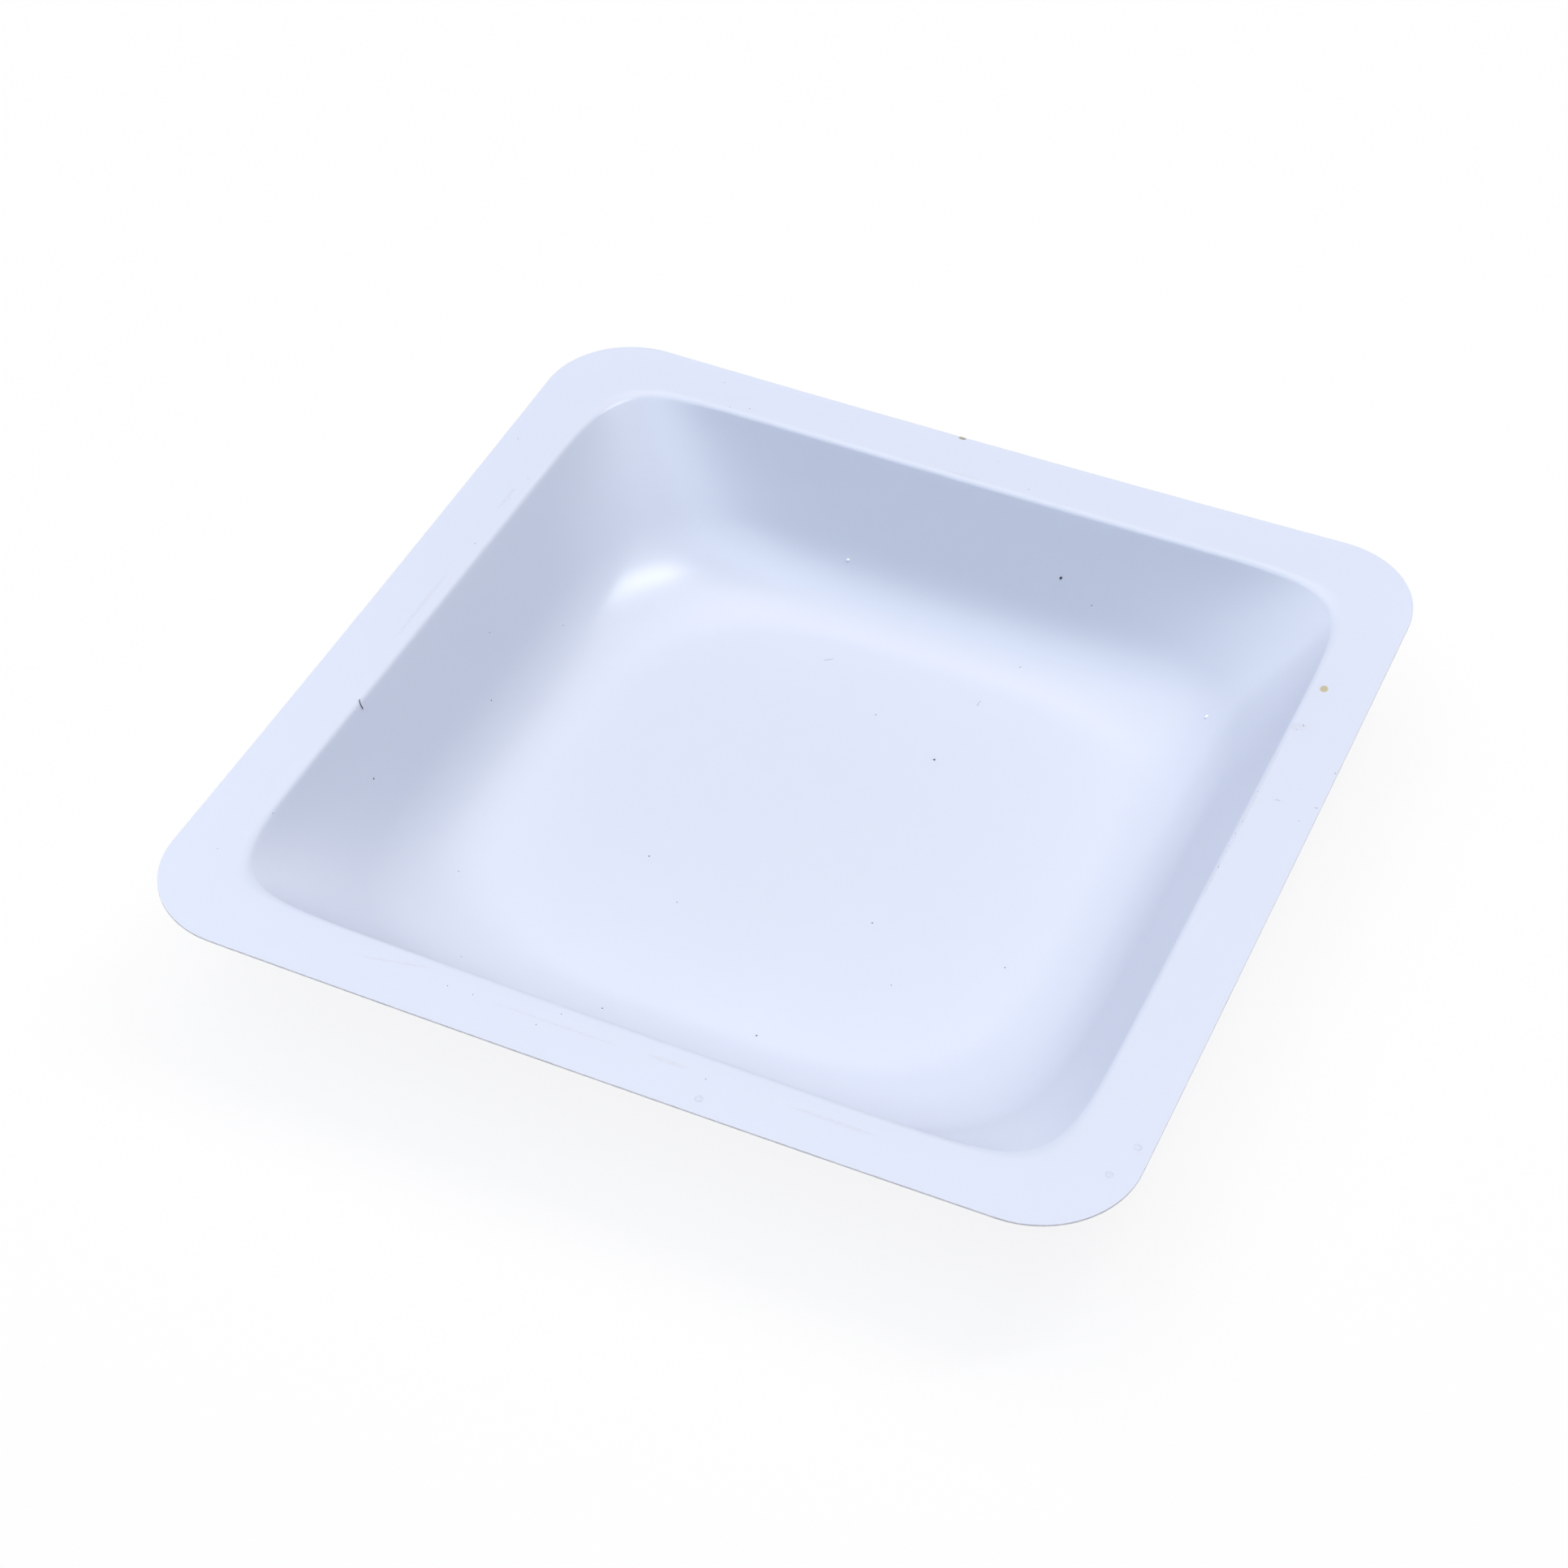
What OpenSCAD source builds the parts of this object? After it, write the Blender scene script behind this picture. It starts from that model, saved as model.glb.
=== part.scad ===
// Square weighing boat: one sheet of white polystyrene, thermoformed into a shallow tray.
// It has a flat rim flange, a rolled lip, four sloping walls, a soft heel and a flat floor.
// Lengths are in millimetres and angles in degrees. +Z is up, and X and Y run along the sides.
// The origin is the centre of the underside of the floor, which the boat stands on.

/* [Rim] */
// Side of the square rim, from edge to edge
rim_side = 140; // [110:1:180]
// Radius of the rim's corners, seen from above
rim_corner_r = 14; // [6:0.5:16]
// Width of the flat flange, from the rim's edge to where the lip starts to roll over
flange_w = 8.7; // [5:0.1:12]
// How far the rim's corners stand above the middles of its sides
corner_lift = 0.5; // [0:0.1:3]

/* [Bowl] */
// Depth of the bowl, from the top of the flange to the top of the floor
bowl_depth = 20.4; // [12:0.1:26]
// Slope of the walls, measured up from the floor
wall_angle = 58; // [45:0.5:75]
// Reach of the rolled lip to each side of the corner that it rounds off
lip_reach = 0.7; // [0.5:0.05:2.4]
// Reach of the heel up the wall, from the corner that it rounds off
heel_on_wall = 9.5; // [2:0.1:11]
// Reach of the heel across the floor, from the same corner
heel_on_floor = 8.8; // [2:0.1:11]

/* [Corners] */
// Squareness of the bowl's mouth: 2 is a circle, and a larger value is a sharper square
mouth_squareness = 14; // [8:0.5:30]
// Squareness of the flat floor, on the same scale
floor_squareness = 3.5; // [2:0.1:6]

/* [Sheet] */
// Thickness of the sheet, square to its surface
sheet_t = 0.3; // [0.2:0.05:0.6]

/* [Smoothness] */
// Points round each quarter of a ring
quarter_points = 26; // [16:2:30]
// Strips across the flat flange
flange_strips = 2; // [1:1:3]
// Strips across the lip
lip_strips = 6; // [3:1:8]
// Strips down the straight part of the wall
wall_strips = 3; // [1:1:5]
// Strips round the heel
heel_strips = 10; // [5:1:12]

/* [Hidden] */
sheet_white = [0.90, 0.92, 0.99];

// Ring points crowd towards the corners: their angle from the diagonal rises by this power
crowding = 1.7;
// Small step down the section and small turn round the axis that give the surface's normal
small_step = 0.001;
small_turn = 0.001;
// Least length of straight wall between the lip and the heel
least_wall = 0.2;

half_rim = rim_side / 2;
floor_z = sheet_t;
rim_z = floor_z + bowl_depth;
// Place of the tip of a rim corner along X, and along Y
corner_tip = half_rim - rim_corner_r * (1 - cos(45));

// The section through the middle of a side. Each point is [distance from the axis, height].
inward = [-1, 0];
down_wall = [-cos(wall_angle), -sin(wall_angle)];
wall_len = bowl_depth / sin(wall_angle);
heel_up = min(heel_on_wall, wall_len - lip_reach - least_wall);
rim_edge = [half_rim, rim_z];
lip_start = rim_edge + inward * flange_w;
lip_corner = lip_start + inward * lip_reach;
lip_end = lip_corner + down_wall * lip_reach;
heel_corner = lip_corner + down_wall * wall_len;
heel_start = heel_corner - down_wall * heel_up;
heel_end = heel_corner + inward * heel_on_floor;

// Points between two points
function between(a, b, t) = a + (b - a) * t;

// Stations along a straight stretch, as [point, heading], without its last point
function straight(a, b, strips) = [for (i = [0:strips - 1]) [between(a, b, i / strips), b - a]];

// Stations round a soft corner from a to b, as [point, heading], without its last point.
// The curve is a parabola that is tangent to both legs of the corner.
function rounded(a, corner, b, strips) = [
    for (i = [0:strips - 1])
        let (t = i / strips, on_a = between(a, corner, t), on_b = between(corner, b, t))
            [between(on_a, on_b, t), on_b - on_a]
];

// The whole section, from the rim's edge to the edge of the flat floor
section = concat(
    straight(rim_edge, lip_start, flange_strips),
    rounded(lip_start, lip_corner, lip_end, lip_strips),
    straight(lip_end, heel_start, wall_strips),
    rounded(heel_start, heel_corner, heel_end, heel_strips),
    [[heel_end, inward]]
);

// Angles of a ring's points, counter-clockwise from +X
quarter = [
    for (i = [0:quarter_points - 1])
        let (u = 2 * i / quarter_points - 1) 45 + 45 * sign(u) * pow(abs(u), crowding)
];
angles = [for (turn = [0:3], a = quarter) a + 90 * turn];

// Squareness of the bowl where its half width is w. Its inverse grows from the mouth inwards,
// fast at first and then ever more slowly, so that the heel stays as tight in the corners.
function squareness(w) =
    let (t = (lip_start.x - w) / (lip_start.x - heel_end.x), share = sin(90 * min(max(t, 0), 1)))
        1 / between(1 / mouth_squareness, 1 / floor_squareness, share);

// Distance from the axis to a squircle of half width w, at angle a
function squircle(a, w, n) = w / pow(pow(abs(cos(a)), n) + pow(abs(sin(a)), n), 1 / n);

// Distance from the axis to the rim's edge, a square with round corners, at angle a
function rim_reach(a) =
    let (
        c = max(abs(cos(a)), abs(sin(a))),
        s = min(abs(cos(a)), abs(sin(a))),
        centre = half_rim - rim_corner_r,
        b = centre * (c + s)
    )
        half_rim * s / c <= centre
            ? half_rim / c
            : b + sqrt(b * b - 2 * centre * centre + rim_corner_r * rim_corner_r);

// Distance from the axis to the ring of half width w, at angle a. The flange runs evenly
// from the mouth's outline to the rim's.
function ring_reach(a, w) =
    w <= lip_start.x
        ? squircle(a, w, squareness(w))
        : between(squircle(a, lip_start.x, mouth_squareness), rim_reach(a), (w - lip_start.x) / flange_w);

// Point of the sheet's upper surface at angle a, on the ring of the section's point p.
// The corners lift in proportion to the height, so that the floor stays flat.
function surface_point(a, p) =
    let (
        r = ring_reach(a, p.x),
        x = r * cos(a),
        y = r * sin(a),
        lift = corner_lift * pow(x * y / (corner_tip * corner_tip), 2)
    )
        [x, y, p.y + lift * (p.y - floor_z) / bowl_depth];

// Upward unit normal of the upper surface, at angle a and station [point, heading]
function surface_normal(a, station) =
    let (
        here = surface_point(a, station[0]),
        heading = station[1] / norm(station[1]),
        onward = surface_point(a, station[0] + heading * small_step) - here,
        round = surface_point(a + small_turn, station[0]) - here,
        up = cross(round, onward)
    )
        up / norm(up);

// Triangles between two rings of n points that start at indices outer and inner
function strip_faces(outer, inner, n) = [
    for (i = [0:n - 1], half = [0:1])
        let (j = (i + 1) % n)
            half == 0 ? [outer + i, inner + i, inner + j] : [outer + i, inner + j, outer + j]
];

function reversed(list) = [for (i = [len(list) - 1:-1:0]) list[i]];

module boat() {
    n = len(angles);
    rings = len(section);
    upper = [for (station = section, a = angles) surface_point(a, station[0])];
    lower = [
        for (k = [0:rings - 1], i = [0:n - 1])
            upper[k * n + i] - sheet_t * surface_normal(angles[i], section[k])
    ];
    under = rings * n;
    last = (rings - 1) * n;
    upper_faces = [for (k = [0:rings - 2]) each strip_faces(k * n, (k + 1) * n, n)];
    lower_faces = [for (face = upper_faces) [for (i = reversed(face)) i + under]];
    floor_face = [for (i = [0:n - 1]) last + i];
    color(sheet_white)
        polyhedron(
            points = concat(upper, lower),
            faces = concat(
                upper_faces,
                lower_faces,
                strip_faces(under, 0, n),
                [reversed(floor_face), [for (i = floor_face) i + under]]
            )
        );
}

boat();
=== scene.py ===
"""A square weighing boat of thin white polystyrene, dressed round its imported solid.

The sheet is one shell that follows a rule: straight strips and soft corners down the section,
and a squircle round the bowl. Dust, hairs and small moulding marks lie on it.
Lengths are in metres, in the same frame as the solid, with +Z up.
"""

import math

import bpy
from bpy.props import FloatProperty, FloatVectorProperty, IntProperty, PointerProperty
from mathutils import Matrix, Vector


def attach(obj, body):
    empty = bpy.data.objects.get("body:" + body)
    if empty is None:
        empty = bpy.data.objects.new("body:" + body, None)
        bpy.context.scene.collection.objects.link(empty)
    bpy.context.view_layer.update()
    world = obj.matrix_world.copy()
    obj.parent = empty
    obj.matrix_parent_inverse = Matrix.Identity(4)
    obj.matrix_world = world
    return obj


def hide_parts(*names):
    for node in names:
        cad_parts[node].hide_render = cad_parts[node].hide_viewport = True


bl_info = {
    "name": "Weighing Boat",
    "version": (1, 0, 0),
    "blender": (4, 5, 0),
    "location": "3D Viewport > Sidebar > Boat",
    "description": "Makes a square weighing boat of thin white plastic, with its dust and a studio",
    "category": "Add Mesh",
}

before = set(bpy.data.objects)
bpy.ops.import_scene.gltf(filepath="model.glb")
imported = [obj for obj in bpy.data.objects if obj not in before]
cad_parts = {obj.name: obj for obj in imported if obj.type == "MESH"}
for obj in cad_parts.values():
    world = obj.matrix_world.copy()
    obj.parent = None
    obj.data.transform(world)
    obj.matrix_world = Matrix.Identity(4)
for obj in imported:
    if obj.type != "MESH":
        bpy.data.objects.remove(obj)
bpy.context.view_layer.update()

NODE = "boat"
BODY = "root"
POLYSTYRENE_IOR = 1.59
MM = 0.001
CORNERS = 4
WHITE = (1.0, 1.0, 1.0, 1.0)
# Rows of faces in each stretch of the section, from the rim's edge to the middle of the floor
STRIPS = {"flange": 8, "lip": 16, "wall": 8, "heel": 24, "floor": 12}
# How strongly the points of a ring crowd towards the corners
CROWDING = 1.5
# Points nearer than this are one point
SAME_PLACE = 1e-7
GRAINS_TREE = "grains_on_sheet"
# Marks drop onto the sheet from this height, along rays of this length
DROP_HEIGHT, DROP_LENGTH = 0.1, 1.0
# A face belongs to the cut edge if it lies beyond this share of the half rim and is this upright
EDGE_SHARE, EDGE_UPRIGHT = 0.8, 0.5
SHARP_ANGLE = math.radians(45)


# ---------------------------------------------------------------------------
# What a user would change
# ---------------------------------------------------------------------------


def length(name, description, default, smallest, largest):
    """A length property. It is given in millimetres and kept in metres."""
    return FloatProperty(
        name=name,
        description=description,
        default=default * MM,
        min=smallest * MM,
        max=largest * MM,
        subtype="DISTANCE",
        unit="LENGTH",
        precision=5,
    )


def count(name, description, default, smallest, largest):
    """A whole-number property."""
    return IntProperty(
        name=name, description=description, default=default, min=smallest, max=largest
    )


def share(name, description, default):
    """A property from 0 to 1."""
    return FloatProperty(
        name=name,
        description=description,
        default=default,
        min=0.0,
        max=1.0,
        subtype="FACTOR",
    )


def colour(name, description, default):
    """A colour property, in linear light."""
    return FloatVectorProperty(
        name=name,
        description=description,
        default=default,
        size=3,
        min=0.0,
        max=1.0,
        subtype="COLOR",
    )


def power(name, description, default):
    """The power of a lamp."""
    return FloatProperty(
        name=name,
        description=description,
        default=default,
        min=0.0,
        subtype="POWER",
        unit="POWER",
    )


class BoatShape(bpy.types.PropertyGroup):
    """Sizes of the thermoformed sheet"""

    rim_side: length("Rim side", "Side of the square rim, edge to edge", 140, 110, 180)
    rim_corner_r: length("Rim corner", "Radius of the rim's corners", 14, 6, 16)
    flange_w: length("Flange", "Width of the flat flange", 8.7, 5, 12)
    corner_lift: length("Corner lift", "Rise of the rim's corners", 0.5, 0, 3)
    bowl_depth: length("Depth", "Top of the flange to top of the floor", 20.4, 12, 26)
    wall_angle: FloatProperty(
        name="Wall angle",
        description="Slope of the walls, measured up from the floor",
        default=math.radians(58),
        min=math.radians(45),
        max=math.radians(75),
        subtype="ANGLE",
        unit="ROTATION",
    )
    lip_reach: length("Lip", "Reach of the lip each side of its corner", 0.7, 0.5, 2.4)
    heel_on_wall: length("Heel up", "Reach of the heel up the wall", 9.5, 2, 11)
    heel_on_floor: length("Heel in", "Reach of the heel over the floor", 8.8, 2, 11)
    mouth_squareness: FloatProperty(
        name="Mouth squareness",
        description="Power of the squircle at the mouth",
        default=14.0,
        min=8.0,
        max=30.0,
    )
    floor_squareness: FloatProperty(
        name="Floor squareness",
        description="Power of the squircle round the flat floor",
        default=3.5,
        min=2.0,
        max=6.0,
    )
    bowl_turn: FloatProperty(
        name="Bowl turn",
        description="How far the rim was die-cut out of square with the bowl",
        default=math.radians(0.45),
        min=0.0,
        max=math.radians(1),
        subtype="ANGLE",
        unit="ROTATION",
    )
    sheet_t: length("Sheet", "Thickness of the sheet", 0.3, 0.2, 0.6)
    quarter_points: count("Quarter points", "Points round a quarter", 96, 24, 160)


class BoatFinish(bpy.types.PropertyGroup):
    """Colours and finish of the plastic and of what lies on it"""

    plastic: colour("Plastic", "Colour of the white sheet", (0.785, 0.833, 0.962))
    # Lighter than the sheet: painted light on the cut edge, which the lamps leave in shade
    cut_edge_painted_light: colour("Cut edge", "Colour of the die-cut edge", (1.0, 0.97, 0.98))
    stain: colour("Stain", "Colour of the stain on the rim", (0.62, 0.55, 0.35))
    rub: colour("Rub", "Colour of the rubbed streaks on the rim", (0.68, 0.69, 0.76))
    rubbed: share("Rubbed", "How far the streaks cover the sheet", 0.45)
    burr: colour("Burr", "Colour of the burr on the cut edge", (0.46, 0.42, 0.32))
    # Lighter than the sheet: a painted highlight on the beads
    bead_painted_highlight: colour("Bead", "Colour of the bright beads", (0.93, 0.95, 1.0))
    dust: colour("Dust", "Colour of the dark dust", (0.03, 0.03, 0.045))
    hair: colour("Hair", "Colour of the hairs", (0.07, 0.07, 0.11))
    glow: share("Glow", "Share of the light that soaks through the sheet", 0.25)
    gloss: share("Roughness", "Roughness of the satin surface", 0.25)
    seed: count("Seed", "Seed of all that is random", 7, 0, 1000)


class BoatStudio(bpy.types.PropertyGroup):
    """The floor, the lamps and the camera"""

    floor: colour("Floor", "Colour of the floor", (0.9, 0.9, 0.9))
    softbox: power("Softbox", "Power of the small softbox that gives the highlights", 2.2)
    overhead: power("Overhead", "Power of the round panel overhead", 5.96)
    front: power("Front", "Power of the high panel in front", 2.93)
    front_left: power("Front left", "Power of the high panel to the front left", 2.04)
    behind: power("Behind", "Power of the high panel behind", 2.15)
    behind_left: power("Behind left", "Power of the high panel to the back left", 2.58)
    left: power("Left", "Power of the low panel to the left", 1.6)
    right: power("Right", "Power of the low panel to the right", 0.24)
    room: share("Room light", "Strength of the light from all round", 0.0)


# ---------------------------------------------------------------------------
# Rules as arithmetic on nodes
# ---------------------------------------------------------------------------


class Number:
    """A value in a node tree. Arithmetic on it adds Math nodes, so a rule reads as written."""

    def __init__(self, tree, socket):
        self.tree = tree
        self.socket = socket

    def math(self, operation, *others, clamp=False):
        node = self.tree.nodes.new("ShaderNodeMath")
        node.operation = operation
        node.use_clamp = clamp
        for place, term in zip(node.inputs, (self, *others)):
            put(self.tree, place, term)
        return Number(self.tree, node.outputs[0])

    def __add__(self, other):
        return self.math("ADD", other)

    def __radd__(self, other):
        return self.math("ADD", other)

    def __sub__(self, other):
        return self.math("SUBTRACT", other)

    def __rsub__(self, other):
        return self.math("MULTIPLY", -1.0).math("ADD", other)

    def __mul__(self, other):
        return self.math("MULTIPLY", other)

    def __rmul__(self, other):
        return self.math("MULTIPLY", other)

    def __truediv__(self, other):
        return self.math("DIVIDE", other)

    def __pow__(self, other):
        return self.math("POWER", other)

    def size(self):
        return self.math("ABSOLUTE")

    def cos(self):
        return self.math("COSINE")

    def sin(self):
        return self.math("SINE")

    def clamped(self):
        return self.math("ADD", 0.0, clamp=True)


def put(tree, place, value):
    """Links a value to an input, or sets the input to it."""
    if isinstance(value, Number):
        tree.links.new(value.socket, place)
    elif isinstance(value, bpy.types.NodeSocket):
        tree.links.new(value, place)
    else:
        place.default_value = value


def add(tree, kind, settings=None, **inputs):
    """A new node with these settings. Underscores in an input's name stand for spaces."""
    node = tree.nodes.new(kind)
    for key, value in (settings or {}).items():
        setattr(node, key, value)
    for name, value in inputs.items():
        put(tree, node.inputs[name.replace("_", " ")], value)
    return node


# ---------------------------------------------------------------------------
# Geometry Nodes trees
# ---------------------------------------------------------------------------

SOCKETS = {
    "length": ("NodeSocketFloat", "DISTANCE"),
    "angle": ("NodeSocketFloat", "ANGLE"),
    "number": ("NodeSocketFloat", "NONE"),
    "whole": ("NodeSocketInt", "NONE"),
    "object": ("NodeSocketObject", None),
    "material": ("NodeSocketMaterial", None),
}


def new_tree(name, inputs):
    """A Geometry Nodes tree with these named inputs, as (tree, group input, group output)."""
    tree = bpy.data.node_groups.new(name, "GeometryNodeTree")
    face = tree.interface
    face.new_socket("Geometry", in_out="INPUT", socket_type="NodeSocketGeometry")
    for label, kind in inputs.items():
        socket_type, subtype = SOCKETS[kind]
        socket = face.new_socket(label, in_out="INPUT", socket_type=socket_type)
        if subtype:
            socket.subtype = subtype
    face.new_socket("Geometry", in_out="OUTPUT", socket_type="NodeSocketGeometry")
    return tree, tree.nodes.new("NodeGroupInput"), tree.nodes.new("NodeGroupOutput")


def close_tree(tree, end, geometry, material):
    """Shades the geometry smooth, and ends the tree in Realize Instances and Set Material."""
    smooth = add(tree, "GeometryNodeSetShadeSmooth", Geometry=geometry, Shade_Smooth=True)
    real = add(tree, "GeometryNodeRealizeInstances", Geometry=smooth.outputs["Geometry"])
    paint = add(
        tree,
        "GeometryNodeSetMaterial",
        Geometry=real.outputs["Geometry"],
        Material=material,
    )
    tree.links.new(paint.outputs["Geometry"], end.inputs["Geometry"])


def node_modifier(obj, tree, values):
    """Adds the tree to obj as a modifier, with each named input set by its identifier."""
    modifier = obj.modifiers.new(tree.name, "NODES")
    modifier.node_group = tree
    for item in tree.interface.items_tree:
        if item.in_out == "INPUT" and item.name in values:
            modifier[item.identifier] = values[item.name]
    return modifier


def linked(name, data):
    """A new object at the origin, in the scene."""
    obj = bpy.data.objects.new(name, data)
    bpy.context.scene.collection.objects.link(obj)
    return obj


def made_plain(obj):
    """Turns what the modifiers make of obj into its own mesh, and removes them."""
    graph = bpy.context.evaluated_depsgraph_get()
    mesh = bpy.data.meshes.new_from_object(obj.evaluated_get(graph), depsgraph=graph)
    # Set Material leaves an empty slot before its own
    if mesh.materials and mesh.materials[0] is None:
        mesh.materials.pop(index=0)
    name = obj.name
    bpy.data.objects.remove(obj)
    if not mesh.polygons:
        raise RuntimeError(name + " came out empty")
    mesh.name = name
    return linked(name, mesh)


def squircle(cosine, sine, half_width, inverse_power):
    """Distance from the axis to a squircle, in one direction."""
    n = inverse_power**-1.0
    total = cosine.size() ** n + sine.size() ** n
    return half_width / total**inverse_power


def shell_tree(strips):
    """The upper surface of the sheet: a grid bent round the bowl's axis and down its section."""
    tree, start, end = new_tree(
        "boat_surface",
        {
            "Rim Side": "length",
            "Rim Corner": "length",
            "Flange": "length",
            "Corner Lift": "length",
            "Depth": "length",
            "Wall Angle": "angle",
            "Lip": "length",
            "Heel Up": "length",
            "Heel In": "length",
            "Mouth Squareness": "number",
            "Floor Squareness": "number",
            "Bowl Turn": "angle",
            "Sheet": "length",
            "Quarter Points": "whole",
            "Material": "material",
        },
    )
    given = {s.name: Number(tree, s) for s in start.outputs if s.name}
    flange, depth, lip = given["Flange"], given["Depth"], given["Lip"]
    floor_z = given["Sheet"]

    # A flat grid: X runs round the boat and Y down the section, each from 0 to 1
    columns = given["Quarter Points"] * float(CORNERS) + 1.0
    rows = sum(strips.values())
    grid = add(
        tree,
        "GeometryNodeMeshGrid",
        Size_X=1.0,
        Size_Y=1.0,
        Vertices_X=columns,
        Vertices_Y=rows + 1,
    )
    place = add(
        tree,
        "ShaderNodeSeparateXYZ",
        Vector=tree.nodes.new("GeometryNodeInputPosition").outputs[0],
    )
    along = (Number(tree, place.outputs["X"]) + 0.5) * float(CORNERS)
    down = (Number(tree, place.outputs["Y"]) + 0.5) * float(rows)

    # How far each stretch of the section has been passed, from 0 to 1
    passed, first = {}, 0
    for stretch, steps in strips.items():
        passed[stretch] = ((down - float(first)) / float(steps)).clamped()
        first += steps

    # Distance from the axis and height at the middle of a side
    slope_x, slope_z = given["Wall Angle"].cos(), given["Wall Angle"].sin()
    straight = depth / slope_z - lip - given["Heel Up"]
    half_rim = given["Rim Side"] * 0.5
    mouth = half_rim - flange
    floor_edge = mouth - lip - slope_x * (depth / slope_z) - given["Heel In"]
    lip_in, lip_out = both_legs(passed["lip"])
    heel_in, heel_out = both_legs(passed["heel"])
    width = (
        half_rim
        - flange * passed["flange"]
        - lip * (lip_in + slope_x * lip_out)
        - straight * slope_x * passed["wall"]
        - given["Heel Up"] * slope_x * heel_in
        - given["Heel In"] * heel_out
        - floor_edge * passed["floor"]
    )
    drop = slope_z * (lip * lip_out + straight * passed["wall"] + given["Heel Up"] * heel_in)

    # Direction round the axis. Points crowd towards the corners.
    turn = along.math("FLOOR")
    off_diagonal = (along - turn) * 2.0 - 1.0
    eighth = math.pi / 4
    bend = off_diagonal.math("SIGN") * off_diagonal.size() ** CROWDING
    angle = (turn * 2.0 + bend + 1.0) * eighth
    cosine, sine = angle.cos(), angle.sin()

    # Distance from the axis: a squircle in the bowl, and an even run to the rim on the flange
    mouth_inverse = given["Mouth Squareness"] ** -1.0
    floor_inverse = given["Floor Squareness"] ** -1.0
    inwards = ((mouth - width) / (mouth - floor_edge)).clamped()
    share_in = (inwards * (math.pi / 2)).sin()
    inverse = mouth_inverse + (floor_inverse - mouth_inverse) * share_in
    bowl_width = width.math("MINIMUM", mouth)
    turned = angle + given["Bowl Turn"]
    bowl_reach = squircle(turned.cos(), turned.sin(), bowl_width, inverse)
    rim = rim_reach(cosine, sine, half_rim, given["Rim Corner"])
    outwards = ((width - mouth) / flange).clamped()
    reach = bowl_reach + (rim - bowl_reach) * outwards

    # The corners lift in proportion to the height
    tip = half_rim - given["Rim Corner"] * (1.0 - math.sqrt(0.5))
    x, y = reach * cosine, reach * sine
    height = depth - drop
    lift = given["Corner Lift"] * (x * y / (tip * tip)) ** 2.0 * height / depth
    bent = add(tree, "ShaderNodeCombineXYZ", X=x, Y=y, Z=floor_z + height + lift)
    surface = add(
        tree,
        "GeometryNodeSetPosition",
        Geometry=grid.outputs["Mesh"],
        Position=bent.outputs[0],
    )
    joined = add(
        tree,
        "GeometryNodeMergeByDistance",
        Geometry=surface.outputs[0],
        Distance=SAME_PLACE,
    )
    close_tree(tree, end, joined.outputs[0], start.outputs["Material"])
    return tree


def both_legs(t):
    """Shares of the two legs of a corner that a parabola has passed at t."""
    square = t * t
    return t * 2.0 - square, square


def rim_reach(cosine, sine, half, radius):
    """Distance from the axis to a square with round corners, in one direction."""
    longer = cosine.size().math("MAXIMUM", sine.size())
    shorter = cosine.size().math("MINIMUM", sine.size())
    centre = half - radius
    to_side = half / longer
    b = centre * (longer + shorter)
    to_corner = b + (b * b - 2.0 * centre * centre + radius * radius).math("SQRT")
    on_side = (half * shorter / longer).math("LESS_THAN", centre)
    return to_corner + (to_side - to_corner) * on_side


def grains_tree():
    """Small rounded grains that sit on the sheet, one at each point, pressed flat or not."""
    tree, start, end = new_tree(
        GRAINS_TREE,
        {
            "Sheet": "object",
            "Flatness": "number",
            "Raggedness": "number",
            "Sink": "number",
            "Seed": "whole",
            "Material": "material",
        },
    )
    hit = dropped_on_sheet(tree, start)
    size, stretch, heading = (carried(tree, name) for name in ("size", "stretch", "heading"))
    flatness = Number(tree, start.outputs["Flatness"])
    sink = Number(tree, start.outputs["Sink"])
    ball = add(tree, "GeometryNodeMeshIcoSphere", Radius=0.5, Subdivisions=3)
    rough = add(
        tree,
        "ShaderNodeTexNoise",
        {"noise_dimensions": "4D"},
        W=Number(tree, start.outputs["Seed"]),
        Scale=1.6,
        Detail=1.0,
    )
    ragged = Number(tree, start.outputs["Raggedness"])
    swell = 1.0 + (Number(tree, rough.outputs[0]) - 0.5) * 2.0 * ragged
    place = tree.nodes.new("GeometryNodeInputPosition").outputs[0]
    swollen = add(tree, "ShaderNodeVectorMath", {"operation": "SCALE"}, Scale=swell)
    put(tree, swollen.inputs[0], place)
    grain = add(
        tree,
        "GeometryNodeSetPosition",
        Geometry=ball.outputs["Mesh"],
        Position=swollen.outputs[0],
    )
    spun = add(tree, "FunctionNodeAxisAngleToRotation", Axis=(0.0, 0.0, 1.0), Angle=heading)
    upright = add(
        tree,
        "FunctionNodeAlignRotationToVector",
        {"axis": "Z"},
        Rotation=spun.outputs[0],
        Vector=hit.outputs["Hit Normal"],
    )
    scale = add(tree, "ShaderNodeCombineXYZ", X=size * stretch, Y=size, Z=size * flatness)
    sunk = add(
        tree,
        "ShaderNodeVectorMath",
        {"operation": "SCALE"},
        Scale=size * flatness * sink,
    )
    put(tree, sunk.inputs[0], hit.outputs["Hit Normal"])
    placed = add(
        tree,
        "GeometryNodeSetPosition",
        Geometry=start.outputs["Geometry"],
        Position=hit.outputs["Hit Position"],
        Offset=sunk.outputs[0],
    )
    put(tree, placed.inputs["Selection"], hit.outputs["Is Hit"])
    copies = add(
        tree,
        "GeometryNodeInstanceOnPoints",
        Points=placed.outputs[0],
        Instance=grain.outputs[0],
        Rotation=upright.outputs[0],
        Scale=scale.outputs[0],
    )
    close_tree(tree, end, copies.outputs[0], start.outputs["Material"])
    return tree


def carried(tree, name):
    """A number that each point carries."""
    node = add(tree, "GeometryNodeInputNamedAttribute", {"data_type": "FLOAT"}, Name=name)
    return Number(tree, node.outputs["Attribute"])


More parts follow.
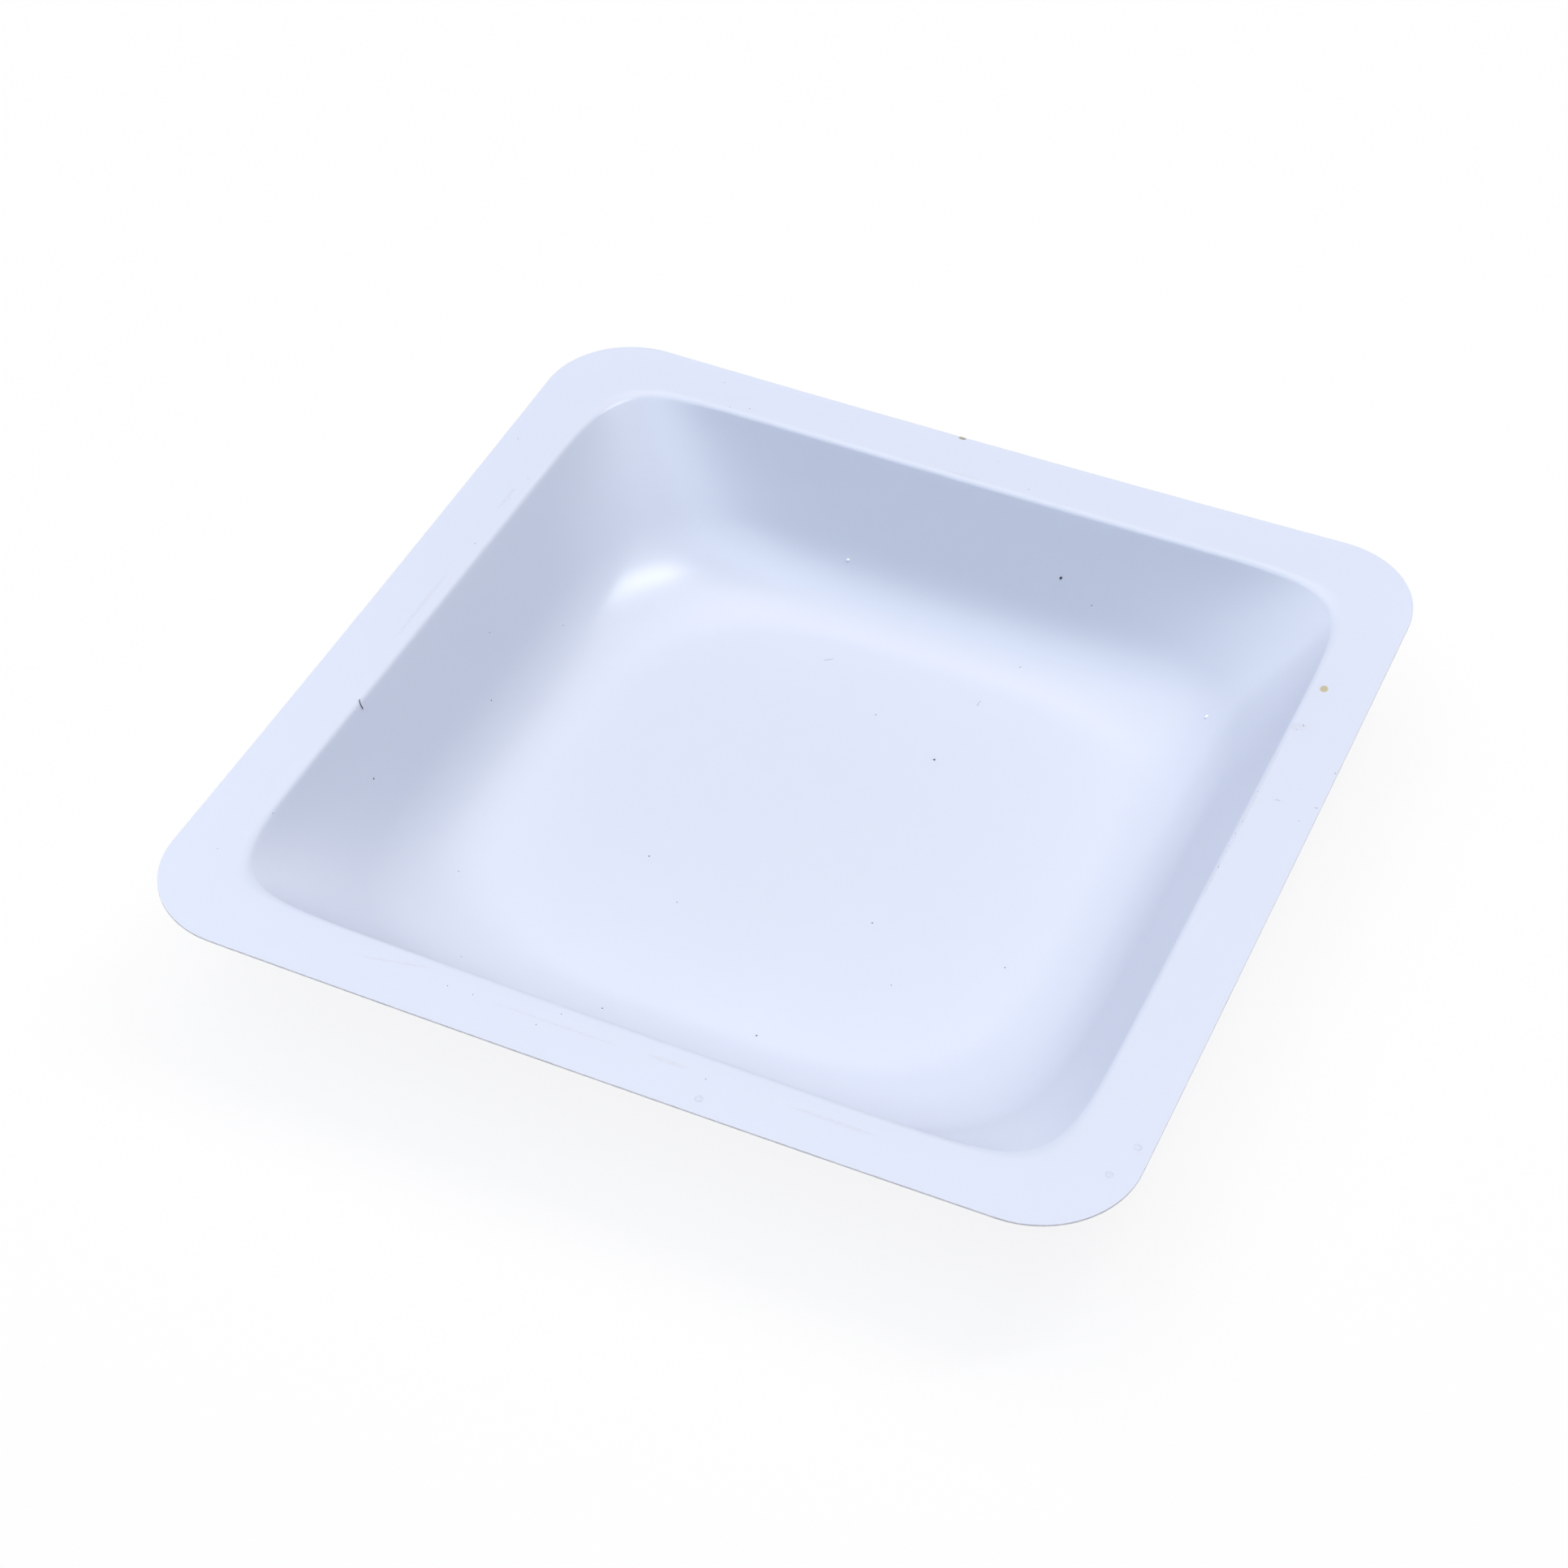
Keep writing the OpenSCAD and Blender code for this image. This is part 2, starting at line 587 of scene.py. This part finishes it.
def dropped_on_sheet(tree, start):
    """A ray from above each point, down to the sheet."""
    sheet = add(
        tree,
        "GeometryNodeObjectInfo",
        {"transform_space": "ORIGINAL"},
        Object=start.outputs["Sheet"],
    )
    return add(
        tree,
        "GeometryNodeRaycast",
        Target_Geometry=sheet.outputs["Geometry"],
        Ray_Direction=(0.0, 0.0, -1.0),
        Ray_Length=DROP_LENGTH,
    )


def hairs_tree():
    """Thin hairs that follow their curves and lie on the sheet."""
    tree, start, end = new_tree(
        "hairs_on_sheet",
        {"Sheet": "object", "Material": "material"},
    )
    hit = dropped_on_sheet(tree, start)
    radius = Number(tree, tree.nodes.new("GeometryNodeInputRadius").outputs[0])
    raised = add(tree, "ShaderNodeVectorMath", {"operation": "SCALE"}, Scale=radius)
    put(tree, raised.inputs[0], hit.outputs["Hit Normal"])
    laid = add(
        tree,
        "GeometryNodeSetPosition",
        Geometry=start.outputs["Geometry"],
        Position=hit.outputs["Hit Position"],
        Offset=raised.outputs[0],
    )
    ring = add(tree, "GeometryNodeCurvePrimitiveCircle", Resolution=6)
    put(tree, next(s for s in ring.inputs if s.name == "Radius" and s.enabled), 1.0)
    tube = add(
        tree,
        "GeometryNodeCurveToMesh",
        Curve=laid.outputs[0],
        Profile_Curve=ring.outputs["Curve"],
        Scale=radius,
        Fill_Caps=True,
    )
    close_tree(tree, end, tube.outputs[0], start.outputs["Material"])
    return tree


# ---------------------------------------------------------------------------
# Finishes
# ---------------------------------------------------------------------------


def new_material(name):
    """An empty node material, as (material, tree, shader)."""
    material = bpy.data.materials.new(name)
    material.use_nodes = True
    tree = material.node_tree
    tree.nodes.clear()
    shader = tree.nodes.new("ShaderNodeBsdfPrincipled")
    output = tree.nodes.new("ShaderNodeOutputMaterial")
    tree.links.new(shader.outputs["BSDF"], output.inputs["Surface"])
    return material, tree, shader


def noise(tree, scale, detail, roughness, seed):
    """A noise pattern on object coordinates, from 0 to 1."""
    place = tree.nodes.new("ShaderNodeTexCoord").outputs["Object"]
    node = add(
        tree,
        "ShaderNodeTexNoise",
        {"noise_dimensions": "4D"},
        Vector=place,
        W=seed,
        Scale=scale,
        Detail=detail,
        Roughness=roughness,
    )
    return Number(tree, node.outputs[0])


def mixed(tree, share_of_second, first, second):
    """A mix of two colours, each a socket or three numbers."""
    node = tree.nodes.new("ShaderNodeMix")
    node.data_type = "RGBA"
    put(tree, node.inputs[0], share_of_second)
    for place, value in zip((node.inputs[6], node.inputs[7]), (first, second)):
        is_socket = isinstance(value, bpy.types.NodeSocket)
        put(tree, place, value if is_socket else (*value, 1.0))
    return node.outputs[2]


def bump(tree, shader, height, strength, distance):
    """Raises the surface a little where height is large."""
    node = add(tree, "ShaderNodeBump", Strength=strength, Distance=distance)
    put(tree, node.inputs["Height"], height)
    tree.links.new(node.outputs[0], shader.inputs["Normal"])


def toned(tint, times):
    """A colour made lighter or darker, kept under white."""
    return [min(1.0, c * times) for c in tint]


def satin_plastic(finish):
    """White satin polystyrene with a faint grain, a stain and rubbed streaks on the rim."""
    material, tree, shader = new_material("satin_polystyrene")
    cloud = noise(tree, scale=45.0, detail=3.0, roughness=0.5, seed=finish.seed)
    tone = ((cloud - 0.5) * 0.6 + 0.5).clamped()
    base = mixed(tree, tone, toned(finish.plastic, 0.985), toned(finish.plastic, 1.015))
    tint = mixed(tree, spot(tree, STAIN), base, finish.stain)
    patches = noise(tree, scale=1500.0, detail=3.0, roughness=0.7, seed=finish.seed + 6.0)
    patchy = (patches * 3.0 - 1.0).clamped()
    for place in RUBS:
        tint = mixed(tree, spot(tree, place) * patchy * finish.rubbed, tint, finish.rub)
    tree.links.new(tint, shader.inputs["Base Color"])
    grain = noise(tree, scale=2600.0, detail=2.0, roughness=0.6, seed=finish.seed + 1.0)
    put(tree, shader.inputs["Roughness"], (grain - 0.5) * 0.08 + finish.gloss)
    bump(tree, shader, grain, strength=0.1, distance=0.01 * MM)
    shader.inputs["IOR"].default_value = POLYSTYRENE_IOR
    let_through(tree, shader, tint, finish.glow)
    return material


def let_through(tree, shader, tint, share_through):
    """Mixes in the light that soaks through a thin sheet."""
    soaked = add(tree, "ShaderNodeBsdfTranslucent", Color=tint)
    mix = add(tree, "ShaderNodeMixShader", Fac=share_through)
    tree.links.new(shader.outputs["BSDF"], mix.inputs[1])
    tree.links.new(soaked.outputs["BSDF"], mix.inputs[2])
    output = next(n for n in tree.nodes if n.type == "OUTPUT_MATERIAL")
    tree.links.new(mix.outputs[0], output.inputs["Surface"])


def spot(tree, place):
    """A soft-edged oval on object coordinates, 1 at its middle."""
    x_mm, y_mm, long_mm, wide_mm, heading = place
    where = tree.nodes.new("ShaderNodeTexCoord").outputs["Object"]
    turned = add(tree, "ShaderNodeMapping", {"vector_type": "TEXTURE"}, Vector=where)
    turned.inputs["Location"].default_value = (x_mm * MM, y_mm * MM, 0.0)
    turned.inputs["Rotation"].default_value = (0.0, 0.0, math.radians(heading))
    turned.inputs["Scale"].default_value = (long_mm * MM, wide_mm * MM, 1.0)
    # Seen from above, and 1 on the oval's outline
    flat = add(tree, "ShaderNodeVectorMath", {"operation": "MULTIPLY"})
    put(tree, flat.inputs[0], turned.outputs[0])
    flat.inputs[1].default_value = (2.0, 2.0, 0.0)
    far = add(tree, "ShaderNodeVectorMath", {"operation": "LENGTH"})
    put(tree, far.inputs[0], flat.outputs[0])
    outside, fade = 1.25, 2.5
    return (outside - Number(tree, far.outputs["Value"])).math("MULTIPLY", fade, clamp=True)


def cut_plastic(finish):
    """The die-cut edge: rough, and darker in places. Its colour is lighter than the sheet's:
    painted light on an edge that the lamps leave in shade.
    """
    material, tree, shader = new_material("cut_polystyrene")
    torn = noise(tree, scale=700.0, detail=3.0, roughness=0.7, seed=finish.seed + 2.0)
    light = ((torn - 0.5) * 3.5 + 0.6).clamped()
    # The edge's colour is painted light, lighter than the sheet it is cut from
    base = mixed(tree, light, toned(finish.cut_edge_painted_light, 0.8), finish.cut_edge_painted_light)
    tree.links.new(base, shader.inputs["Base Color"])
    put(tree, shader.inputs["Roughness"], (torn - 0.5) * 0.2 + 0.6)
    bump(tree, shader, torn, strength=0.5, distance=0.05 * MM)
    let_through(tree, shader, base, finish.glow)
    return material


def painted_highlight_bead(finish):
    """Glossy white plastic with a faint mottle, lighter than the sheet: a painted highlight on the
    beads.
    """
    material, tree, shader = new_material("bright_polystyrene")
    mottle = noise(tree, scale=3000.0, detail=1.0, roughness=0.5, seed=finish.seed + 5.0)
    base = mixed(tree, mottle, toned(finish.bead_painted_highlight, 0.94), finish.bead_painted_highlight)
    tree.links.new(base, shader.inputs["Base Color"])
    put(tree, shader.inputs["Roughness"], (mottle - 0.5) * 0.1 + 0.35)
    return material


def dry_speck(name, tint, seed):
    """Dry dust, hair or burr, darker in places."""
    material, tree, shader = new_material(name)
    patch = noise(tree, scale=4000.0, detail=1.0, roughness=0.5, seed=seed)
    base = mixed(tree, patch, toned(tint, 0.6), toned(tint, 1.4))
    tree.links.new(base, shader.inputs["Base Color"])
    put(tree, shader.inputs["Roughness"], (patch - 0.5) * 0.2 + 0.7)
    return material


# ---------------------------------------------------------------------------
# Marks: where they lie, seen from above, in millimetres from the middle of the boat
# ---------------------------------------------------------------------------

# The stain: place, length, width and heading in degrees
STAIN = (62.9, 38.3, 1.05, 1.3, 0.0)

# Rubbed streaks on the rim: place, length, width and heading in degrees
RUBS = (
    (61.1, 14.0, 22.0, 0.35, 90),
    (60.8, -3.0, 8.0, 0.3, 90),
    (62.1, 29.3, 2.2, 1.5, 20),
    (8.3, -63.6, 5.0, 0.7, 0),
    (31.5, -64.0, 11.0, 0.6, 0),
    (-8.0, -63.9, 17.0, 0.35, 0),
    (-32.0, -63.0, 9.0, 0.4, 12),
    (-62.7, 27.8, 5.0, 0.5, 90),
    (-62.7, 1.0, 14.0, 0.5, 90),
    (-2.0, 61.5, 5.0, 0.4, 0),
)

# Dust: place, size, stretch along its heading, and heading in degrees
DUST = (
    (16.9, 55.0, 0.4, 1.3, 60),
    (10.4, 21.8, 0.29, 1.3, 20),
    (-51.7, 0.1, 0.19, 1.2, 0),
    (-55.8, -27.0, 0.23, 1.4, -30),
    (-42.2, -28.5, 0.16, 1.0, 0),
    (-19.2, -13.7, 0.21, 1.2, 0),
    (-11.6, -20.3, 0.14, 1.4, 60),
    (15.2, -12.5, 0.2, 1.3, 20),
    (-12.0, -43.2, 0.2, 1.3, 20),
    (9.2, -38.5, 0.24, 1.0, 0),
    (35.4, -12.7, 0.2, 1.0, 20),
    (-33.3, -44.1, 0.13, 1.3, 20),
    (22.3, -22.3, 0.16, 1.0, 0),
    (-1.3, 27.1, 0.19, 1.0, 0),
    (14.9, 44.8, 0.1, 2.6, 40),
    (22.6, 53.5, 0.17, 1.0, 0),
    (-55.5, 7.5, 0.15, 1.0, 0),
    (-50.3, 20.6, 0.13, 1.2, 40),
    (62.6, 29.9, 0.16, 1.3, 20),
    (62.0, 28.7, 0.1, 1.0, 0),
    (68.0, 11.5, 0.09, 1.8, 100),
    (69.7, 22.5, 0.12, 1.6, 0),
    (60.9, -1.3, 0.09, 2.4, 95),
    (69.4, 14.9, 0.07, 8.0, 5),
    (8.3, 62.4, 0.13, 1.2, 80),
    (1.5, 66.8, 0.08, 1.4, 60),
    (-38.4, 62.6, 0.11, 1.8, 60),
    (-41.3, 61.6, 0.1, 1.4, 60),
    (-44.7, 66.8, 0.09, 1.8, 90),
    (-67.7, 40.9, 0.12, 1.2, 40),
    (-62.1, 27.7, 0.08, 1.3, 140),
    (-61.9, 33.1, 0.1, 1.5, 140),
    (-62.1, 16.4, 0.14, 1.2, 140),
    (-60.6, -45.4, 0.15, 1.0, 0),
    (-63.7, -54.8, 0.09, 1.3, 30),
    (-19.8, -63.8, 0.13, 1.0, 0),
    (-23.5, -63.8, 0.13, 1.0, 0),
    (-9.9, -65.0, 0.13, 1.2, 30),
    (-7.8, -62.0, 0.14, 1.0, 0),
    (14.0, -64.3, 0.14, 1.0, 0),
    (61.0, 14.7, 0.08, 2.0, 95),
    (61.0, 8.2, 0.09, 1.2, 60),
    (60.9, 5.7, 0.09, 1.5, 95),
    (60.9, 3.1, 0.09, 1.2, 20),
    (60.9, 1.9, 0.09, 1.0, 0),
)

# Moulding nibs, small domes in the sheet itself, given like the dust
NIBS = (
    (14.6, -67.6, 1.15, 1.0, 0),
    (68.0, -52.3, 1.1, 1.0, 0),
    (66.3, -57.9, 1.1, 1.0, 0),
)

# Beads that stuck to the sheet, given like the dust, coloured lighter than the sheet as a painted
# highlight
BEADS = (
    (-16.6, 51.5, 0.55, 1.0, 0),
    (45.4, 41.8, 0.45, 1.5, 60),
    (46.3, 42.4, 0.22, 1.0, 0),
)

# Burrs on the cut edge of the rim, given like the dust
BURRS = ((-5.6, 69.7, 0.5, 2.2, 0),)

# Hairs: where they start, heading in degrees, length, how far they curl in degrees, a wave,
# and thickness
HAIRS = (
    (-61.0, -20.55, -75, 1.15, 75, 0.0, 0.15),
    (11.6, 35.3, 75, 1.1, -10, 0.16, 0.035),
    (-13.3, 35.0, 30, 1.5, 15, 0.0, 0.03),
    (64.5, 14.0, 130, 0.9, 110, 0.0, 0.03),
)


def points_object(name, places):
    """Loose points with the size, stretch and heading of the grain at each."""
    mesh = bpy.data.meshes.new(name)
    mesh.from_pydata([(x * MM, y * MM, DROP_HEIGHT) for x, y, *_ in places], [], [])
    columns = {
        "size": [p[2] * MM for p in places],
        "stretch": [p[3] for p in places],
        "heading": [math.radians(p[4]) for p in places],
    }
    for label, values in columns.items():
        mesh.attributes.new(label, "FLOAT", "POINT").data.foreach_set("value", values)
    return linked(name, mesh)


def grains(name, places, look, seed, material):
    """Grains of one kind on the sheet, as one plain piece. Their look is how flat they are, how
    ragged, and how far they sink in."""
    flatness, raggedness, sink = look
    points = points_object(name, places)
    node_modifier(
        points,
        bpy.data.node_groups.get(GRAINS_TREE) or grains_tree(),
        {
            "Sheet": bpy.data.objects["boat_shell"],
            "Flatness": flatness,
            "Raggedness": raggedness,
            "Sink": sink,
            "Seed": seed,
            "Material": material,
        },
    )
    return made_plain(points)


def hair_points(x, y, heading, long, curl, wave, steps=16):
    """Points of a hair that starts at x, y and curls evenly on its way."""
    points = []
    for i in range(steps + 1):
        t = i / steps
        turn = math.radians(heading + curl * t)
        side = wave * math.sin(2 * math.pi * t)
        bent_x, bent_y = x + side * math.sin(turn), y - side * math.cos(turn)
        points.append((bent_x * MM, bent_y * MM, DROP_HEIGHT))
        x += long / steps * math.cos(turn)
        y += long / steps * math.sin(turn)
    return points


# ---------------------------------------------------------------------------
# Studio
# ---------------------------------------------------------------------------

# Tints of the lamps
PLAIN, WARM, COOL = (1.0, 1.0, 1.0), (1.0, 0.85, 0.7), (0.7, 0.85, 1.0)
# Kinds of lamp: distance from the boat, width and height in metres, and outline
STRIP = (0.9, 0.07, 0.5, "RECTANGLE")
DOME = (1.1, 2.04, 2.04, "ELLIPSE")
PANEL = (1.1, 0.8, 0.8, "RECTANGLE")
# Lamps: direction from the boat, kind, and tint
LAMPS = {
    "softbox": ((0.352, 0.31, 0.88), STRIP, PLAIN),
    "overhead": ((0.0, 0.0, 1.0), DOME, PLAIN),
    "front": ((0.0, -0.47, 0.88), PANEL, COOL),
    "front_left": ((-0.41, -0.235, 0.88), PANEL, COOL),
    "behind": ((0.0, 0.47, 0.88), PANEL, WARM),
    "behind_left": ((-0.41, 0.235, 0.88), PANEL, WARM),
    "left": ((-0.8, 0.34, 0.5), PANEL, COOL),
    "right": ((0.8, 0.325, 0.5), PANEL, COOL),
}


def make_lamp(name, watts, heading, kind, tint):
    """A flat lamp that faces the boat."""
    away, width, height, outline = kind
    lamp = bpy.data.lights.new(name, "AREA")
    lamp.shape = outline
    lamp.color = tint
    lamp.size, lamp.size_y = width, height
    lamp.energy = watts
    obj = linked(name, lamp)
    back = Vector(heading).normalized()
    obj.location = back * away
    obj.rotation_euler = back.to_track_quat("Z", "Y").to_euler()


def seen_directly(tree):
    """1 for camera, glossy and clear transmission rays, and 0 for light that is scattered."""
    path = tree.nodes.new("ShaderNodeLightPath")
    seen = Number(tree, path.outputs["Is Camera Ray"])
    for kind in ("Is Glossy Ray", "Is Transmission Ray"):
        seen = seen.math("MAXIMUM", Number(tree, path.outputs[kind]))
    return seen * (1.0 - Number(tree, path.outputs["Is Diffuse Ray"]))


def make_floor(studio):
    """A wide pale floor that glows for the camera and keeps a soft shadow."""
    half, height, glow = 3.0, -0.02 * MM, 0.87
    outline = ((-half, -half), (half, -half), (half, half), (-half, half))
    mesh = bpy.data.meshes.new("floor")
    mesh.from_pydata([(x, y, height) for x, y in outline], [], [(0, 1, 2, 3)])
    floor = linked("floor", mesh)
    material, tree, shader = new_material("pale_floor")
    shader.inputs["Base Color"].default_value = (*studio.floor, 1.0)
    shader.inputs["Roughness"].default_value = 1.0
    shader.inputs["Specular IOR Level"].default_value = 0.0
    white = add(tree, "ShaderNodeEmission", Strength=1.0)
    mix = tree.nodes.new("ShaderNodeMixShader")
    put(tree, mix.inputs[0], seen_directly(tree) * glow)
    tree.links.new(shader.outputs[0], mix.inputs[1])
    tree.links.new(white.outputs[0], mix.inputs[2])
    output = next(n for n in tree.nodes if n.type == "OUTPUT_MATERIAL")
    tree.links.new(mix.outputs[0], output.inputs["Surface"])
    mesh.materials.append(material)


def make_room(studio):
    """Even light from all round, which shows as white."""
    world = bpy.data.worlds.new("room")
    world.use_nodes = True
    bpy.context.scene.world = world
    tree = world.node_tree
    tree.nodes.clear()
    seen = seen_directly(tree)
    strength = seen + (1.0 - seen) * studio.room
    back = add(tree, "ShaderNodeBackground", Strength=strength)
    back.inputs["Color"].default_value = WHITE
    output = tree.nodes.new("ShaderNodeOutputWorld")
    tree.links.new(back.outputs[0], output.inputs["Surface"])


# The camera: where it stands round the boat, how high, and its roll, in degrees, then the
# point that it looks at and its distance from there in millimetres, and its lens and sensor
CAMERA_TURN, CAMERA_RISE, CAMERA_ROLL = 24.197, 44.330, 0.240
CAMERA_TARGET, CAMERA_AWAY = (1.16, -11.82, 21.41), 479.0
LENS, SENSOR = 79.63, 36.0


def make_camera(scene):
    """The camera, from the front and to the right, well above the boat."""
    azimuth, elevation, roll = map(math.radians, (CAMERA_TURN, CAMERA_RISE, CAMERA_ROLL))
    target = Vector(CAMERA_TARGET) * MM
    away = CAMERA_AWAY * MM
    back = Vector(
        (
            math.sin(azimuth) * math.cos(elevation),
            -math.cos(azimuth) * math.cos(elevation),
            math.sin(elevation),
        )
    )
    right = Vector((math.cos(azimuth), math.sin(azimuth), 0.0))
    up = back.cross(right)
    turned = Matrix((right, up, back)).transposed() @ Matrix.Rotation(roll, 3, "Z")
    data = bpy.data.cameras.new("camera")
    data.lens = LENS
    data.sensor_width = SENSOR
    data.clip_start, data.clip_end = 0.01, 20.0
    camera = linked("camera", data)
    camera.location = target + back * away
    camera.rotation_euler = turned.to_euler()
    scene.camera = camera


# ---------------------------------------------------------------------------
# Operators
# ---------------------------------------------------------------------------


class MakeStudio(bpy.types.Operator):
    """Make the floor, the lamps, the room light and the camera"""

    bl_idname = "weighing_boat.make_studio"
    bl_label = "Make Studio"

    def execute(self, context):
        studio = context.scene.boat_studio
        make_floor(studio)
        make_room(studio)
        for name, spec in LAMPS.items():
            make_lamp(name, getattr(studio, name), *spec)
        make_camera(context.scene)
        context.scene.view_settings.view_transform = "Standard"
        return {"FINISHED"}


class MakeShell(bpy.types.Operator):
    """Make the thermoformed sheet, which stands for the solid boat"""

    bl_idname = "weighing_boat.make_shell"
    bl_label = "Make Shell"

    def execute(self, context):
        shape, finish = context.scene.boat_shape, context.scene.boat_finish
        shell = linked("boat_shell", bpy.data.meshes.new("boat_shell"))
        node_modifier(
            shell,
            shell_tree(STRIPS),
            {
                "Rim Side": shape.rim_side,
                "Rim Corner": shape.rim_corner_r,
                "Flange": shape.flange_w,
                "Corner Lift": shape.corner_lift,
                "Depth": shape.bowl_depth,
                "Wall Angle": shape.wall_angle,
                "Lip": shape.lip_reach,
                "Heel Up": shape.heel_on_wall,
                "Heel In": shape.heel_on_floor,
                "Mouth Squareness": shape.mouth_squareness,
                "Floor Squareness": shape.floor_squareness,
                "Bowl Turn": shape.bowl_turn,
                "Sheet": shape.sheet_t,
                "Quarter Points": shape.quarter_points,
                "Material": satin_plastic(finish),
            },
        )
        wall = shell.modifiers.new("sheet", "SOLIDIFY")
        wall.thickness = shape.sheet_t
        wall.offset = -1.0
        shell = made_plain(shell)
        mesh = shell.data
        mesh.materials.append(cut_plastic(finish))
        for face in mesh.polygons:
            outermost = max(abs(face.center.x), abs(face.center.y))
            beyond = outermost > EDGE_SHARE * shape.rim_side / 2
            if beyond and abs(face.normal.z) < EDGE_UPRIGHT:
                face.material_index = 1
        mesh.set_sharp_from_angle(angle=SHARP_ANGLE)
        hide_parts(NODE)
        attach(shell, BODY)
        return {"FINISHED"}


class MakeDust(bpy.types.Operator):
    """Make the dark dust that lies on the sheet"""

    bl_idname = "weighing_boat.make_dust"
    bl_label = "Make Dust"

    def execute(self, context):
        finish = context.scene.boat_finish
        dark = dry_speck("dark_dust", finish.dust, finish.seed + 3.0)
        dust = grains("dust_specks", DUST, (0.35, 0.35, 0.4), finish.seed, dark)
        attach(dust, BODY)
        return {"FINISHED"}


class MakeNibs(bpy.types.Operator):
    """Make the small domes that the mould left in the sheet"""

    bl_idname = "weighing_boat.make_nibs"
    bl_label = "Make Nibs"

    def execute(self, context):
        finish = context.scene.boat_finish
        plastic = bpy.data.materials["satin_polystyrene"]
        nibs = grains("moulding_nibs", NIBS, (0.2, 0.1, -0.1), finish.seed, plastic)
        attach(nibs, BODY)
        return {"FINISHED"}


class MakeBeads(bpy.types.Operator):
    """Make the beads on the sheet, coloured lighter than it as a painted highlight, and the burr on
    its cut edge
    """

    bl_idname = "weighing_boat.make_beads"
    bl_label = "Make Beads"

    def execute(self, context):
        finish = context.scene.boat_finish
        # The name, places, flatness and material of each kind
        kinds = (
            # The beads' lighter colour is a painted highlight
            ("bright_beads", BEADS, 0.6, painted_highlight_bead(finish)),
            ("edge_burr", BURRS, 0.5, dry_speck("brown_burr", finish.burr, finish.seed + 8.0)),
        )
        for name, places, flatness, material in kinds:
            beads = grains(name, places, (flatness, 0.3, 0.2), finish.seed + 1, material)
            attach(beads, BODY)
        return {"FINISHED"}


class MakeHairs(bpy.types.Operator):
    """Make the thin hairs that lie on the sheet"""

    bl_idname = "weighing_boat.make_hairs"
    bl_label = "Make Hairs"

    def execute(self, context):
        finish = context.scene.boat_finish
        curves = bpy.data.curves.new("hairs", "CURVE")
        curves.dimensions = "3D"
        for *place, thickness in HAIRS:
            points = hair_points(*place)
            spline = curves.splines.new("POLY")
            spline.points.add(len(points) - 1)
            for knot, point in zip(spline.points, points):
                knot.co = (*point, 1.0)
                knot.radius = thickness / 2 * MM
        hairs = linked("hairs", curves)
        node_modifier(
            hairs,
            hairs_tree(),
            {
                "Sheet": bpy.data.objects["boat_shell"],
                "Material": dry_speck("dark_hair", finish.hair, finish.seed + 4.0),
            },
        )
        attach(made_plain(hairs), BODY)
        return {"FINISHED"}


class BoatPanel(bpy.types.Panel):
    """The boat's sizes, colours and pieces"""

    bl_idname = "VIEW3D_PT_weighing_boat"
    bl_label = "Weighing Boat"
    bl_space_type = "VIEW_3D"
    bl_region_type = "UI"
    bl_category = "Boat"

    def draw(self, context):
        layout = self.layout
        for maker in MAKERS:
            layout.operator(maker.bl_idname)
        for name in GROUPS:
            group = getattr(context.scene, name)
            box = layout.box()
            for key in group.bl_rna.properties.keys():
                if key not in ("rna_type", "name"):
                    box.prop(group, key)


GROUPS = {
    "boat_shape": BoatShape,
    "boat_finish": BoatFinish,
    "boat_studio": BoatStudio,
}
MAKERS = (MakeStudio, MakeShell, MakeDust, MakeNibs, MakeBeads, MakeHairs)
CLASSES = (*GROUPS.values(), *MAKERS, BoatPanel)


def register():
    """Registers the classes and adds the property groups to the scene."""
    for cls in CLASSES:
        bpy.utils.register_class(cls)
    for name, group in GROUPS.items():
        setattr(bpy.types.Scene, name, PointerProperty(type=group))


def unregister():
    """Takes away what register added."""
    for name in GROUPS:
        delattr(bpy.types.Scene, name)
    for cls in reversed(CLASSES):
        bpy.utils.unregister_class(cls)


def main():
    """Makes every piece in order."""
    register()
    for maker in MAKERS:
        group, name = maker.bl_idname.split(".")
        getattr(getattr(bpy.ops, group), name)()


if __name__ == "__main__":
    main()
